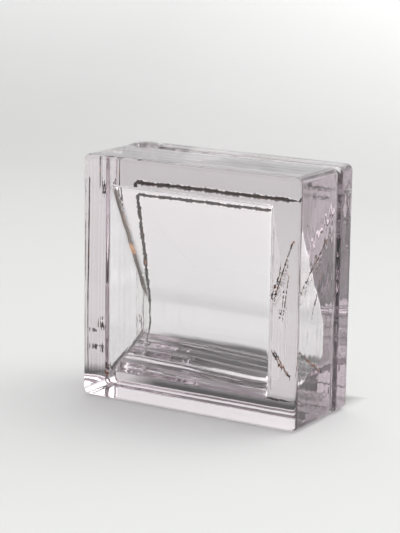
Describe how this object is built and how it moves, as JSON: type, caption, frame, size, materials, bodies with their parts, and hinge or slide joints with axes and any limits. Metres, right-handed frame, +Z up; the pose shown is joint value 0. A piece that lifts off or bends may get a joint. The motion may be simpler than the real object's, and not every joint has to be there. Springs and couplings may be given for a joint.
{
  "type": "glass block",
  "caption": "Square pressed glass building block, fused in one piece along a seam groove, with one sealed prism-shaped hollow behind a thin front wall.",
  "frame": {"origin": "centre of the bottom face, on the floor the block stands on", "axes": "+X along the width to the right seen from the front, +Y from the front face towards the back face, +Z up"},
  "size_m": [0.19, 0.08, 0.192],
  "materials": {
    "tinted_glass": "clear pressed glass with a faint mauve tint, slightly wavy"
  },
  "bodies": {
    "root": {"glass_block": "tinted_glass"}
  },
  "joints": []
}
